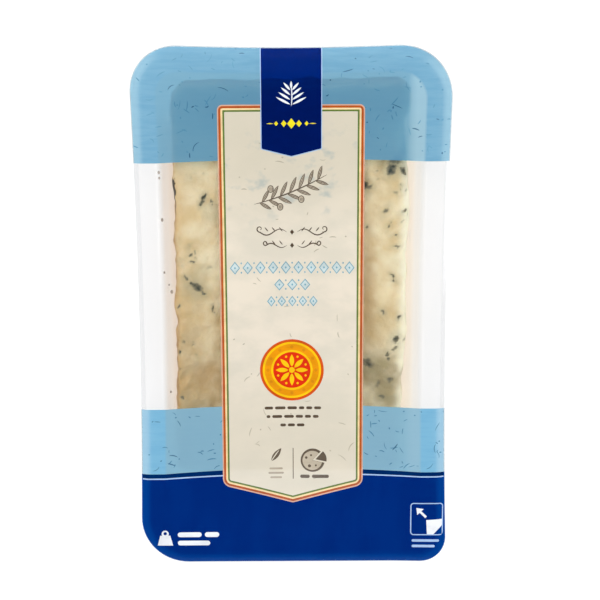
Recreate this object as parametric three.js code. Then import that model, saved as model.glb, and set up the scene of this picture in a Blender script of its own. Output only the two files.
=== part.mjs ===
// A wedge of blue-veined cheese, sealed in a clear thermoformed tray under a lidding film.
// Units are millimetres and +Z is up. The pack lies on its back: the tray's flat base is on
// z = 0, the film faces up, and the cheese's thick rind end points to +Y.
import * as THREE from "three";

// Outline of the pack, seen from above
const PACK_WIDTH = 115;
const PACK_LENGTH = 195;
const CORNER_RADII = [10, 20, 17.5, 18]; // from +X, -Y round; the film is peeled at the first, squarer one
const PEEL_WALL_RADIUS = 7.3; // of the tray's wall at that corner
const LEAST_CORNER_RADIUS = 3.5; // of the tray's inner corners, at its base
const SIDE_WAIST = 1.7; // how far the taut film draws in the middle of each long edge
const TOP_WAIST = 1.6; // the same for the short edge at +Y

// Tray, drawn from one sheet of clear plastic
const SHEET = 0.8;
const FLANGE_TOP = 26.5; // height of the sealing land above the base
const FLANGE_WIDTH = 9.2;
const LIP_WIDTH = 3.6; // outer strip of the flange, which curves down to the cut edge
const LIP_DROP = 0.9;
const SHOULDER_RADIUS = 2; // where the flange turns down into the wall
const BASE_RADIUS = 4; // where the wall turns into the floor
const DRAFT = THREE.MathUtils.degToRad(5);

// Lidding film, sealed to the flange and slack over the hollow
const FILM_THICKNESS = 0.3;
const SEAL_GAP = 0.15; // room left between film and flange
const FILM_SAG = 5.2;
const SAG_LEAN = 0.45; // the film hangs lower over the cheese's thin end
const PEEL_LIFT = 0.9; // how far the unsealed corner stands up
const PEEL_REACH = 20;

// Cheese: half the height of a wheel, lying on one cut face with the other cut face up
const CHEESE_WIDTH = 83.5;
const CHEESE_LENGTH = 150; // from the wheel's outside to its middle
const THICK_END = 22.6;
const THIN_END = 6.4;
const CHEESE_X = -0.75; // where its middle lies across the tray
const RIND_END_Y = 81.5;
const CHEESE_CORNERS = [2.5, 4, 5.5, 3]; // from +X, -Y round; the third is the wheel's shoulder
const CHEESE_EDGE = 2.2; // rounding along the cut edges
const LEAST_CHEESE_CORNER = 0.5;
const RIND_END_BULGE = 1.1; // how far the rind at +Y swells at mid-height
const RIND_SIDE_BULGE = 0.7; // the same for the rind along -X
const REST_GAP = 0.3; // between the cheese and the tray's floor

// Relief of the cheese
const CRAG_SIZE = 7.5;
const CRAG_DEPTH = 0.75;
const CRUMB_SIZE = 3.2;
const CRUMB_DEPTH = 0.35;
const PIT_COUNT = 26;
const PIT_RADIUS = [2.2, 4.6];
const PIT_DEPTH = [0.8, 2.2];
const SEED = 11;

// Fineness of the faceted surfaces
const PACK_STEPS = { corner: 7, long: 10, short: 6 };
const CHEESE_STEPS = { corner: 5, long: 32, short: 18 };
const FILLET_STEPS = 4;
const LIP_SHARES = [1, 0.6, 0.3, 0]; // stations across the lip, from the land to the cut edge
const FILM_SHARES = [0.14, 0.28, 0.42, 0.56, 0.7, 0.84, 0.94]; // rings over the hollow
const LAND_SHARES = [1, 0.7, LIP_WIDTH / FLANGE_WIDTH, 0.2, 0]; // rings over the flange
const FACE_SCALES = [0.3, 0.65, 0.9]; // rings under the cheese
const WALL_SHARES = [0.25, 0.5, 0.75]; // rings round the cheese's sides
const EDGE_TURNS = [0, Math.PI / 4, Math.PI / 2]; // stations round its cut edges
const TOP_RINGS = 11;

/** The corners of a ring in order: the signs of x and y, and the angle at which the arc starts. */
const CORNERS = [
  { x: 1, y: -1, start: -Math.PI / 2 },
  { x: 1, y: 1, start: 0 },
  { x: -1, y: 1, start: Math.PI / 2 },
  { x: -1, y: -1, start: Math.PI },
];

/** Points counter-clockwise round a rectangle with its own radius at each of the CORNERS. */
function roundedRing(halfX, halfY, radii, steps) {
  const arcs = CORNERS.map((corner, i) => {
    const centre = new THREE.Vector2(corner.x * (halfX - radii[i]), corner.y * (halfY - radii[i]));
    return Array.from({ length: steps.corner + 1 }, (_, k) => {
      const angle = corner.start + ((Math.PI / 2) * k) / steps.corner;
      return new THREE.Vector2(Math.cos(angle), Math.sin(angle)).multiplyScalar(radii[i]).add(centre);
    });
  });
  const ring = [];
  arcs.forEach((arc, i) => {
    const next = arcs[(i + 1) % arcs.length][0];
    const side = i % 2 === 0 ? steps.long : steps.short;
    ring.push(...arc);
    for (let k = 1; k < side; k++) ring.push(arc.at(-1).clone().lerp(next, k / side));
  });
  return ring;
}

/** A closed solid through rings of equal length, from its lowest middle outwards, up and back in. */
function loft(rings) {
  const count = rings[0].length;
  const middle = (ring) =>
    ring.reduce((sum, p) => sum.add(p), new THREE.Vector3()).divideScalar(count);
  const points = [...rings.flat(), middle(rings[0]), middle(rings.at(-1))];
  const first = points.length - 2;
  const last = points.length - 1;
  const top = (rings.length - 1) * count;
  const index = [];
  for (let j = 0; j < count; j++) {
    const k = (j + 1) % count;
    for (let i = 0; i + 1 < rings.length; i++) {
      const low = i * count;
      const high = low + count;
      index.push(low + j, low + k, high + j, low + k, high + k, high + j);
    }
    index.push(first, k, j, last, top + j, top + k);
  }
  return new THREE.BufferGeometry().setFromPoints(points).setIndex(index);
}

/** The pack's outline drawn in by inset, before the film pulls its edges in. */
function packRing(inset) {
  const onFlange = Math.min(inset / FLANGE_WIDTH, 1);
  const onWall = Math.max(inset - FLANGE_WIDTH, 0);
  const [peel, ...round] = CORNER_RADII;
  const squarer = THREE.MathUtils.lerp(peel, PEEL_WALL_RADIUS, onFlange) - onWall;
  const radii = [squarer, ...round.map((r) => r - inset)].map((r) => Math.max(r, LEAST_CORNER_RADIUS));
  return roundedRing(PACK_WIDTH / 2 - inset, PACK_LENGTH / 2 - inset, radii, PACK_STEPS);
}

/** Moves a point as the taut film draws in the long edges and the short edge at +Y. */
function drawIn(x, y, z) {
  const u = x / (PACK_WIDTH / 2);
  const v = y / (PACK_LENGTH / 2);
  const across = SIDE_WAIST * (1 - v * v) * u;
  const along = TOP_WAIST * (1 - u * u) * Math.max(v, 0);
  return new THREE.Vector3(x - across, y - along, z);
}

/** Height of the flange's upper face: a flat land, and a lip that curves down to the edge. */
function flangeZ(inset) {
  const onLip = Math.max(1 - inset / LIP_WIDTH, 0);
  return FLANGE_TOP - LIP_DROP * onLip * onLip;
}

/** The tray's section as [inset, z], from its floor out to its edge, sunk into the sheet by depth. */
function trayProfile(depth) {
  const shoulder = { inset: FLANGE_WIDTH - SHOULDER_RADIUS, z: FLANGE_TOP - SHOULDER_RADIUS };
  const shoulderR = SHOULDER_RADIUS - depth;
  const baseR = BASE_RADIUS + depth;
  const baseZ = SHEET + BASE_RADIUS;
  const wallDrop = shoulder.z + SHOULDER_RADIUS * Math.sin(DRAFT) - (baseZ - BASE_RADIUS * Math.sin(DRAFT));
  const wallFoot = shoulder.inset + SHOULDER_RADIUS * Math.cos(DRAFT) + wallDrop * Math.tan(DRAFT);
  const baseInset = wallFoot + BASE_RADIUS * Math.cos(DRAFT);
  const turn = Math.PI / 2 - DRAFT;
  const section = [];
  for (let k = FILLET_STEPS; k >= 0; k--) {
    const angle = DRAFT + (turn * k) / FILLET_STEPS;
    section.push([baseInset - baseR * Math.cos(angle), baseZ - baseR * Math.sin(angle)]);
  }
  for (let k = 0; k <= FILLET_STEPS; k++) {
    const angle = DRAFT + (turn * k) / FILLET_STEPS;
    section.push([shoulder.inset + shoulderR * Math.cos(angle), shoulder.z + shoulderR * Math.sin(angle)]);
  }
  for (const share of LIP_SHARES) {
    section.push([LIP_WIDTH * share, flangeZ(LIP_WIDTH * share) - depth]);
  }
  return section;
}

/** The clear tray: a drafted shell with a flat floor and a sealing flange round its mouth. */
function trayGeometry() {
  const section = [...trayProfile(SHEET), ...trayProfile(0).reverse()];
  return loft(section.map(([inset, z]) => packRing(inset).map((p) => drawIn(p.x, p.y, z))));
}

/** Height of the film's lower face over a point of the undrawn outline. */
function filmZ(p, inset) {
  const u = Math.min(Math.abs(p.x) / (PACK_WIDTH / 2 - FLANGE_WIDTH), 1);
  const v = THREE.MathUtils.clamp(p.y / (PACK_LENGTH / 2 - FLANGE_WIDTH), -1, 1);
  const sag = FILM_SAG * (1 - u * u) * (1 - v * v) * (1 - SAG_LEAN * v);
  const toPeel = Math.hypot(p.x - PACK_WIDTH / 2, p.y + PACK_LENGTH / 2) / PEEL_REACH;
  const lift = PEEL_LIFT * Math.max(1 - toPeel, 0);
  return flangeZ(inset) + SEAL_GAP - sag + lift;
}

/** The lidding film: sealed flat on the flange, hanging in a shallow bowl over the hollow. */
function filmGeometry() {
  const overHollow = FILM_SHARES.map((share) => ({
    inset: FLANGE_WIDTH,
    ring: packRing(FLANGE_WIDTH).map((p) => p.multiplyScalar(share)),
  }));
  const onFlange = LAND_SHARES.map((share) => ({
    inset: FLANGE_WIDTH * share,
    ring: packRing(FLANGE_WIDTH * share),
  }));
  const lower = [...overHollow, ...onFlange];
  const face = (rise) =>
    lower.map(({ ring, inset }) => ring.map((p) => drawIn(p.x, p.y, filmZ(p, inset) + rise)));
  return loft([...face(0), ...face(FILM_THICKNESS).reverse()]);
}

/** A number from 0 to 1 that depends only on the lattice point and the seed. */
function lattice(ix, iy, iz) {
  let h = Math.imul(ix, 374761393) ^ Math.imul(iy, 668265263) ^ Math.imul(iz, 1274126177) ^ SEED;
  h = Math.imul(h ^ (h >>> 13), 1103515245);
  h = Math.imul(h ^ (h >>> 16), 2246822519);
  return ((h ^ (h >>> 15)) >>> 0) / 4294967296;
}

/** Smooth noise from -1 to 1, blended between lattice points one unit apart. */
function noise(x, y, z) {
  const [ix, iy, iz] = [x, y, z].map(Math.floor);
  const ease = (t) => t * t * (3 - 2 * t);
  const [fx, fy, fz] = [ease(x - ix), ease(y - iy), ease(z - iz)];
  const { lerp } = THREE.MathUtils;
  const edge = (dy, dz) => lerp(lattice(ix, iy + dy, iz + dz), lattice(ix + 1, iy + dy, iz + dz), fx);
  return 2 * lerp(lerp(edge(0, 0), edge(1, 0), fy), lerp(edge(0, 1), edge(1, 1), fy), fz) - 1;
}

/** How far the crumbly paste moves a point, along each axis. */
function crags(p) {
  const shift = (offset) =>
    CRAG_DEPTH * noise(p.x / CRAG_SIZE + offset, p.y / CRAG_SIZE, p.z / CRAG_SIZE) +
    CRUMB_DEPTH * noise(p.x / CRUMB_SIZE, p.y / CRUMB_SIZE + offset, p.z / CRUMB_SIZE);
  return new THREE.Vector3(shift(17), shift(41), shift(73));
}

/** Seeded hollows in the upper cut face, where the mould has opened the paste. */
function cheesePits() {
  const draw = (k, channel) => lattice(k + 101, channel, SEED);
  const between = ([low, high], share) => THREE.MathUtils.lerp(low, high, share);
  return Array.from({ length: PIT_COUNT }, (_, k) => ({
    x: CHEESE_X + (draw(k, 1) - 0.5) * CHEESE_WIDTH,
    y: RIND_END_Y - draw(k, 2) * CHEESE_LENGTH,
    radius: between(PIT_RADIUS, draw(k, 3)),
    depth: between(PIT_DEPTH, draw(k, 4)),
  }));
}

/** Thickness of the wedge at y, from its thin middle end to its rind end. */
function thicknessAt(y) {
  const share = (RIND_END_Y - y) / CHEESE_LENGTH;
  return THREE.MathUtils.lerp(THICK_END, THIN_END, THREE.MathUtils.clamp(share, 0, 1));
}

/** The wedge: rounded cut edges, swollen rind sides at -X and +Y, and a crumbly surface. */
function cheeseGeometry() {
  const middleY = RIND_END_Y - CHEESE_LENGTH / 2;
  const baseZ = SHEET + REST_GAP;
  const pits = cheesePits();
  const outline = (inset, scale = 1) =>
    roundedRing(
      CHEESE_WIDTH / 2 - inset,
      CHEESE_LENGTH / 2 - inset,
      CHEESE_CORNERS.map((r) => Math.max(r - inset, LEAST_CHEESE_CORNER)),
      CHEESE_STEPS,
    ).map((p) => p.multiplyScalar(scale));

  const place = (p, height, isTop) => {
    const point = new THREE.Vector3(p.x + CHEESE_X, p.y + middleY, 0);
    const thick = thicknessAt(point.y);
    point.z = baseZ + height(thick);
    const swell = Math.sin((Math.PI * (point.z - baseZ)) / thick);
    if (p.x < -CHEESE_WIDTH / 2 + CHEESE_EDGE) point.x -= RIND_SIDE_BULGE * swell;
    if (p.y > CHEESE_LENGTH / 2 - CHEESE_EDGE) point.y += RIND_END_BULGE * swell;
    point.add(crags(point));
    if (isTop) {
      for (const pit of pits) {
        const away = Math.hypot(point.x - pit.x, point.y - pit.y) / pit.radius;
        point.z -= pit.depth * Math.exp(-away * away);
      }
    }
    point.z = Math.max(point.z, baseZ);
    return point;
  };

  const rings = [];
  const addRing = (ring, height, isTop = false) => rings.push(ring.map((p) => place(p, height, isTop)));
  for (const scale of FACE_SCALES) addRing(outline(CHEESE_EDGE, scale), () => 0);
  for (const turn of EDGE_TURNS) {
    const rise = CHEESE_EDGE * (1 - Math.cos(turn));
    addRing(outline(CHEESE_EDGE * (1 - Math.sin(turn))), () => rise);
  }
  for (const share of WALL_SHARES) {
    addRing(outline(0), (thick) => THREE.MathUtils.lerp(CHEESE_EDGE, thick - CHEESE_EDGE, share));
  }
  for (const turn of EDGE_TURNS) {
    const fall = CHEESE_EDGE * (1 - Math.sin(turn));
    const isTop = turn === EDGE_TURNS.at(-1);
    addRing(outline(CHEESE_EDGE * (1 - Math.cos(turn))), (thick) => thick - fall, isTop);
  }
  for (let k = 1; k < TOP_RINGS; k++) {
    addRing(outline(CHEESE_EDGE, 1 - k / TOP_RINGS), (thick) => thick, true);
  }
  return loft(rings);
}

/** One named node of the pack. */
function node(name, geometry, look) {
  const mesh = new THREE.Mesh(geometry, new THREE.MeshStandardMaterial(look));
  mesh.name = name;
  return mesh;
}

const clear = { metalness: 0, transparent: true, side: THREE.DoubleSide };
const pack = new THREE.Group();
pack.add(node("tray", trayGeometry(), { ...clear, color: 0xf4f7f8, roughness: 0.12, opacity: 0.25 }));
pack.add(node("cheese", cheeseGeometry(), { color: 0xe6d7ae, roughness: 0.55, metalness: 0 }));
pack.add(node("lid_film", filmGeometry(), { ...clear, color: 0x86bcdc, roughness: 0.2, opacity: 0.6 }));

// The drawn-in edges leave the outline's box off centre, so the group is set back over the origin.
const outlineBox = new THREE.Box3().setFromPoints(packRing(0).map((p) => drawIn(p.x, p.y, 0)));
pack.position.copy(outlineBox.getCenter(new THREE.Vector3())).negate();

export default pack;
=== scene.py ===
"""Looks of a blue cheese wedge, sealed in a clear tray under a printed lidding film.

Lengths are in millimetres, in the outline's own frame: x across the pack, y along it, z up from
its base. mesh_piece() sets them over the CAD model, in metres. Shaders, lamps and the floor are in
metres throughout. Colours of inks and of the cheese are screen levels from 0 to 255.
"""

from math import acos, copysign, cos, hypot, pi, radians, sin, tan

import bpy
import numpy as np
from mathutils import Matrix, Vector, geometry


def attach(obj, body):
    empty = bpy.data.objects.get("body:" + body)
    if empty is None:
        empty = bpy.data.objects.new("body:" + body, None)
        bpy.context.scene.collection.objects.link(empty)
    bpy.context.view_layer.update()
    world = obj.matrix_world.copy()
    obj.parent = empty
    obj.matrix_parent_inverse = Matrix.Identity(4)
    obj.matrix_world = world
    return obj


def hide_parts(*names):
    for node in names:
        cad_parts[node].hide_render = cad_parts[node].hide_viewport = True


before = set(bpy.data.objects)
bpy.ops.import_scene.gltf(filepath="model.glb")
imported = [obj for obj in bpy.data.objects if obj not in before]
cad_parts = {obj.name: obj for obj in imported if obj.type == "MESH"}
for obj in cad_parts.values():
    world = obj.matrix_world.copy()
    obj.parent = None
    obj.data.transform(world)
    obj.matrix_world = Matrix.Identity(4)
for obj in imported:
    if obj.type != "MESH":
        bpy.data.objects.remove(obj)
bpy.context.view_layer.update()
scene = bpy.context.scene

MM = 0.001
SEED = 7

# Pack outline and section, the same as the solids
PACK_HALF = np.array((57.5, 97.5))
CORNER_RADII = np.array((10.0, 20.0, 17.5, 18.0))  # from +X, -Y round; the first one is peeled
PEEL_WALL_RADIUS = 7.3
LEAST_CORNER_RADIUS = 3.5
SIDE_WAIST = 1.7
TOP_WAIST = 1.6
SHEET = 0.8
FLANGE_TOP = 26.5
FLANGE_WIDTH = 9.2
LIP_WIDTH = 3.6
LIP_DROP = 0.9
SHOULDER_RADIUS = 2.0
BASE_RADIUS = 4.0
DRAFT = radians(5.0)
FILM_THICKNESS = 0.3
SEAL_GAP = 0.15
FILM_SAG = 5.2
SAG_LEAN = 0.45
PEEL_LIFT = 0.9
PEEL_REACH = 20.0
LIP_HIGHLIGHT_SPAN = (4.2, 1.8)  # painted highlight: how near the edge the print begins to be painted lighter along the curved lip, and is lightest
LIP_TURN = (0.3, 0.9)
FILM_TOP = FLANGE_TOP + SEAL_GAP + FILM_THICKNESS

# Fineness of the meshes
CORNER_STEPS = 18
LONG_STEPS = 70
SHORT_STEPS = 34
FILLET_STEPS = 9
FILM_GRID = 1.7
EDGE_STEP = 1.6
SEAL_BLUR = 0.5
INK_RISE = 0.04  # how far the print stands above the film, so that the two never touch

# Print, measured along the film
TOP_BAND = (55.3, 0.003, 0.75)  # its edge: height at the middle of the flanges, tilt, and bow in the slack
LOW_BAND = (-36.8, 0.0, 0.0)
STRIPE = (-61.95, 0.003, 0.7)
PALE_LINE = (-63.55, 0.004, 0.5)
PALE_LINE_WIDTH = 0.5
SLACK_HALF = 48.0
GLARE = (41.0, 44.0)  # where a painted glare begins on the film beside the cheese at +X, turning the ink milky, along x
LABEL_MIDDLE = -0.15
LABEL_HALF = 26.15
LABEL_TOP = 75.85
LABEL_TIP = -74.3
LABEL_SLOPE = 0.265
LABEL_CORNER = 1.9
LABEL_FOOT_CORNER = 3.4
LABEL_BORDERS = (("peach", 0.0), ("brick", 0.45), ("butter", 1.25), ("green", 1.9), ("cream", 2.55))
RIBBON_MIDDLE = -0.05
RIBBON_HALF = 10.6
RIBBON_TIP = 57.2
RIBBON_SLOPE = 0.26
RIBBON_EDGE = 0.32
BEYOND = 110.0  # further than any edge of the pack
# width of the painted light along the cut edge: a grey line of painted shade above the stripe, a painted rim
# highlight on the navy below it
PAINTED_EDGE_LINE = 0.32
LIP_SHADE_LINE = LIP_WIDTH / 2  # how far in from the edge the bare film is painted grey, as shade on its curved lip
CRUMBS = (
    (-47.3, 51.9, 0.6), (-47.2, 49.9, 0.5), (-46.5, 34.7, 0.7), (-46.2, 15.3, 0.55), (-43.7, 7.9, 0.75),
    (-44.6, 10.6, 0.4), (-44.9, -30.0, 0.5),
)

# Plain inks: colour, and how far each covers the film
PLAIN_INKS = {
    "white": ((240, 243, 248), 0.96), "pale": ((168, 198, 240), 0.93), "peach": ((226, 174, 146), 0.88),
    "brick": ((182, 82, 34), 0.94), "butter": ((248, 220, 164), 0.93), "green": ((98, 122, 58), 0.94),
    "brown": ((100, 88, 76), 0.93), "umber": ((86, 72, 60), 0.93), "wash": ((196, 184, 164), 0.92),
    "dim": ((182, 170, 152), 0.9), "teal": ((120, 172, 190), 0.93), "sky": ((206, 222, 224), 0.92),
    "ochre": ((238, 153, 4), 0.95), "gold": ((254, 202, 14), 0.95), "amber": ((222, 138, 10), 0.95),
    "rust": ((214, 82, 16), 0.95), "scarlet": ((225, 44, 10), 0.95), "yellow": ((246, 230, 40), 0.96),
    "mote": ((198, 190, 170), 0.85), "crumb": ((128, 110, 92), 0.7),
}

# Looks of the clear sheets
GLARE_COLOUR = (172, 198, 212)  # painted glare: the milky colour an ink goes to on the slack film beside the cheese at +X
HOLLOW_SHADE_PART = 0.8  # how far an ink goes over to its painted shade colour inside the seal, over the tray's hollow, and to its painted highlight colour on the lip
LIP_HIGHLIGHT_PART = 0.48
MOST_GLOSS = 0.06  # the sheets are so clear that even steep walls show what lies behind them
CLEAR = (0.994, 0.996, 0.999, 1)
FORMED = (0.976, 0.982, 0.988, 1)  # the tray's drawn walls, which begin and are full at these heights
FORMED_HEIGHT = (0.0245, 0.02)
EDGE_ON = (0.9, 0.91, 0.92, 1)  # a wall that is seen along its sheet
# the cheese's smearing on the walls beside it, with painted shade at -X and painted bounce light from the
# cheese at +X
SMEAR_AND_SHADE_LEFT = (0.93, 0.874, 0.815, 1)
SMEAR_AND_BOUNCE_LIGHT_RIGHT = (0.984, 0.935, 0.86, 1)
SMEAR_AND_SHADING_HEIGHT = (0.024, 0.013)  # where the cheese's smearing, with painted shade and bounce light, begins and is full, in height
SMEAR_AND_SHADING_ACROSS = (0.0505, 0.0415)
SMEAR_AND_SHADING_ALONG = (0.075, 0.062)

# Cheese
VOXEL = 0.62
CHEESE_CRAG = ((6.0, 0.35), (2.4, 0.2), (1.1, 0.1))  # size and depth of each scale of crumbling
RIND_DEPTH = 1.1
UNDER_RIND = 5.0
CLUSTERS = 60
SIDE_CLUSTERS = 70
SPOTS_A_CLUSTER = (2, 8)
CLUSTER_SPREAD = 3.6
SPOT_RADIUS = (0.3, 0.9)
SPOT_STRENGTH = (0.25, 0.8)
PIT_DEPTH = 0.35
FLARE = 2.0  # how far the rind's end swells at +X
FLARE_SPAN = (70.0, 74.0)
BULGE = 1.25  # how far the cut face at +X swells over its middle
BULGE_SPANS = ((-38.0, -5.0), (68.0, 45.0))
SWELL_FROM = 25.0  # where both begin, along x
SPREAD = 1.1  # how far the soft thin end slumps towards the rind's side
SPREAD_SPAN = (10.0, -45.0)
EDGE_HIGHLIGHT_SPAN = (5.0, 1.0)  # painted highlight: how near the edge at +X the paste begins to be painted brighter, as if lit through from the side, and is at its brightest
CLOUDS = ((17.0, 0.32, 1264), (6.0, 0.22, 774))  # size, strength and seed of the light and dark paste
SCAR = (34.0, 49.0)  # where the rind's edge is torn and dark, along y

# Mould that shows in the clear windows: x, y, radius, length share, turn and strength of each streak
STREAKS = (
    (-32.1, 40.1, 0.8, 2.6, 62, 0.95), (-28.9, 39.4, 0.7, 2.0, 115, 0.85), (-26.9, 42.6, 0.4, 3.0, 80, 0.5),
    (-35.0, 6.2, 1.25, 3.2, -40, 1.0), (-38.7, 10.5, 0.7, 1.8, -60, 0.6), (-29.2, -1.8, 0.6, 3.6, -72, 0.85),
    (-37.4, 19.4, 0.7, 1.3, 0, 0.6), (-35.2, 18.3, 0.6, 1.6, 80, 0.5), (-30.5, 14.4, 1.1, 1.6, 20, 0.35),
    (-36.8, -15.6, 0.4, 4.5, -75, 0.5), (-35.4, -20.6, 0.5, 2.4, -60, 0.55), (-42.0, -18.9, 0.8, 1.3, 0, 0.9),
    (-41.9, -0.6, 0.7, 2.2, 70, 0.7), (-42.2, -26.0, 0.6, 1.4, 0, 0.5), (-40.8, -37.2, 0.9, 1.6, 20, 0.8),
    (-30.6, -9.6, 0.4, 3.0, 80, 0.35), (-35.6, -33.4, 0.5, 2.6, 90, 0.35),
    (35.6, 51.6, 1.4, 1.8, 62, 0.95), (39.4, 50.9, 1.3, 1.9, -55, 0.95), (36.6, 54.6, 1.6, 1.8, 10, 0.6),
    (38.4, 44.3, 0.5, 3.4, 80, 0.65), (30.3, 50.8, 0.6, 1.2, 0, 0.45), (31.0, 48.0, 0.5, 1.4, 0, 0.35),
    (25.9, 45.6, 1.4, 1.5, 100, 1.0), (27.8, 44.9, 0.9, 1.2, 30, 0.6), (37.0, 42.6, 0.9, 1.5, -20, 0.5),
    (41.0, 44.2, 0.8, 1.7, 40, 0.6), (33.4, 36.0, 0.8, 1.4, 60, 0.6), (39.6, 35.6, 0.8, 1.4, 40, 0.65),
    (40.9, 34.2, 0.4, 3.4, 88, 0.5), (27.4, 29.6, 0.8, 1.3, 60, 0.75), (34.4, 30.2, 0.7, 2.2, 80, 0.6),
    (36.6, 26.2, 0.5, 1.2, 0, 0.6), (37.4, 22.4, 0.9, 1.7, 10, 0.7), (39.0, 32.0, 0.7, 1.8, 50, 0.35),
    (36.3, 9.4, 0.6, 4.4, -62, 0.85), (33.2, -3.2, 0.8, 2.0, -70, 0.6), (38.4, -5.6, 0.6, 1.8, 80, 0.8),
    (37.6, -17.4, 0.9, 1.6, 30, 0.5), (35.0, -20.6, 0.6, 2.2, 85, 0.8), (28.6, -24.4, 1.4, 2.2, -40, 0.72),
    (34.8, -26.0, 0.7, 2.0, 50, 0.6), (32.4, -31.4, 1.4, 2.4, 70, 0.38), (36.6, -30.8, 1.0, 1.6, 60, 0.6),
    (33.6, -37.0, 0.6, 1.4, 0, 0.55),
)

# Tan and olive patches between the streaks: x, y, half width, half length, and how tan and how olive each is.
# The two long tan strips beside the label at +X, at x 28 and 29.5, are partly painted shadow of the label.
PATCHES = (
    (-38.0, 47.0, 3.6, 13.0, 0.12, 0.0), (-36.0, 6.0, 6.0, 9.0, 0.1, 0.4),
    (-31.0, -30.0, 11.0, 12.0, 0.78, 0.0), (-38.0, -20.0, 5.0, 16.0, 0.35, 0.1),
    # on the row below, the strips at x 28 and 29.5 are partly painted shadow of the label's edge
    (37.5, 52.0, 5.5, 6.0, 0.0, 0.55), (28.0, 3.0, 2.6, 24.0, 0.6, 0.0), (29.5, -13.0, 4.2, 13.0, 0.25, 0.1),
    (30.5, -25.5, 6.5, 6.0, 0.35, 0.85), (34.0, -33.0, 7.0, 7.5, 0.65, 0.75),
    (27.0, 45.0, 3.0, 4.0, 0.0, 0.4), (-28.0, 36.0, 4.5, 5.0, 0.0, 0.35),
)

PASTE = {
    # on the row below, the fourth colour is a painted highlight for the edge at +X
    "dull": (224, 200, 150), "bright": (246, 234, 198), "under": (204, 168, 110), "edge_highlight": (255, 250, 222),
    # tan, on the row below, also colours the painted shadow beside the label
    "tan": (190, 155, 103), "olive": (150, 142, 104), "stain": (163, 159, 130), "fringe": (126, 121, 98),
    "mould": (48, 58, 50), "crust": (176, 141, 94), "pale_crust": (208, 177, 128), "speck": (128, 102, 72),
    "scar": (62, 54, 42),
}

# Camera, light and floor
CAMERA_DISTANCE = 620.0
CAMERA_TILT = radians(14.88)
CAMERA_ROLL = radians(-0.285)
FOCAL_PIXELS = 1702.9
IMAGE_SIDE = 600
PACK_PIXEL = (292.4, 312.2)  # where the middle of the outline falls in the photograph
OUTLINE_HEIGHT = FILM_TOP - LIP_DROP
LAMPS = (  # name, place, side and power of each softbox
    ("key", (-0.08, 0.42, 1.05), 1.0, 10.2), ("left", (-0.95, 0.3, 0.6), 0.7, 2.6),
    ("right", (0.95, 0.1, 0.6), 0.7, 2.6), ("front", (0.0, -1.1, 0.45), 0.7, 2.0),
)
FLOOR_HALF = 3.0
FLOOR_DROP = 0.0003
FLOOR_GLOW = 0.775


# Shapes in the plane

def rounded_ring(half_x, half_y, radii):
    """Points counter-clockwise round a rectangle with four corner radii, from +X, -Y."""
    arcs = []
    for k, (sign_x, sign_y) in enumerate(((1, -1), (1, 1), (-1, 1), (-1, -1))):
        angles = radians(90 * (k - 1)) + np.linspace(0, pi / 2, CORNER_STEPS + 1)
        centre = np.array((sign_x * (half_x - radii[k]), sign_y * (half_y - radii[k])))
        arcs.append(centre + radii[k] * np.c_[np.cos(angles), np.sin(angles)])
    ring = []
    for k, arc in enumerate(arcs):
        count = SHORT_STEPS if k % 2 else LONG_STEPS
        share = np.arange(1, count)[:, None] / count
        ring += [arc, arc[-1] + share * (arcs[(k + 1) % 4][0] - arc[-1])]
    return np.vstack(ring)


def pack_ring(inset):
    """The pack's outline drawn in by inset, before the film pulls its edges in."""
    on_flange = min(inset / FLANGE_WIDTH, 1)
    on_wall = max(inset - FLANGE_WIDTH, 0)
    radii = CORNER_RADII - inset
    radii[0] = CORNER_RADII[0] + (PEEL_WALL_RADIUS - CORNER_RADII[0]) * on_flange - on_wall
    return rounded_ring(*(PACK_HALF - inset), np.maximum(radii, LEAST_CORNER_RADIUS))


def draw_in(plan):
    """Moves plan points as the taut film draws in the long edges and the short edge at +Y."""
    u, v = (plan / PACK_HALF).T
    return plan - np.c_[SIDE_WAIST * (1 - v * v) * u, TOP_WAIST * (1 - u * u) * np.maximum(v, 0)]


def draw_out(plan):
    """The plan points that draw_in would move here."""
    flat = plan
    for _ in range(4):
        flat = flat + plan - draw_in(flat)
    return flat


def corner_radius(flat):
    """The radius of the corner in each point's quarter of the outline."""
    right, high = (flat > 0).T
    return CORNER_RADII[np.where(right, np.where(high, 1, 0), np.where(high, 2, 3))]


def inset_of(flat):
    """How far undrawn plan points lie inside the pack's outline."""
    radius = corner_radius(flat)
    over = np.abs(flat) - PACK_HALF + radius[:, None]
    corner = np.hypot(*np.maximum(over, 0).T)
    return radius - corner - np.minimum(over.max(1), 0)


def film_height(plan):
    """Height of the film's upper face: a lip, a flat land and a slack bowl."""
    flat = draw_out(plan)
    u, v = np.clip(flat / (PACK_HALF - FLANGE_WIDTH), -1, 1).T
    sag = FILM_SAG * (1 - u * u) * (1 - v * v) * (1 - SAG_LEAN * v)
    on_lip = np.clip(1 - inset_of(flat) / LIP_WIDTH, 0, 1)
    to_peel = np.hypot(flat[:, 0] - PACK_HALF[0], flat[:, 1] + PACK_HALF[1]) / PEEL_REACH
    lift = PEEL_LIFT * np.maximum(1 - to_peel, 0)
    return FILM_TOP - LIP_DROP * on_lip**2 - sag + lift


def ramp(value, low, high):
    """0 below low, 1 above high, and smooth between; high may be the lower one."""
    share = np.clip((value - low) / (high - low), 0, 1)
    return share * share * (3 - 2 * share)


def lip_highlight_share(plan):
    """How far points lie on the lip, where the print is painted lighter as a highlight, on all sides but +Y.
    """
    flat = draw_out(plan)
    out = np.maximum(np.abs(flat) - PACK_HALF + corner_radius(flat)[:, None], 1e-6)
    sideways = np.where(flat[:, 1] > 0, out[:, 0] / np.hypot(*out.T), 1)
    return ramp(inset_of(flat), *LIP_HIGHLIGHT_SPAN) * ramp(sideways, *LIP_TURN)


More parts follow.
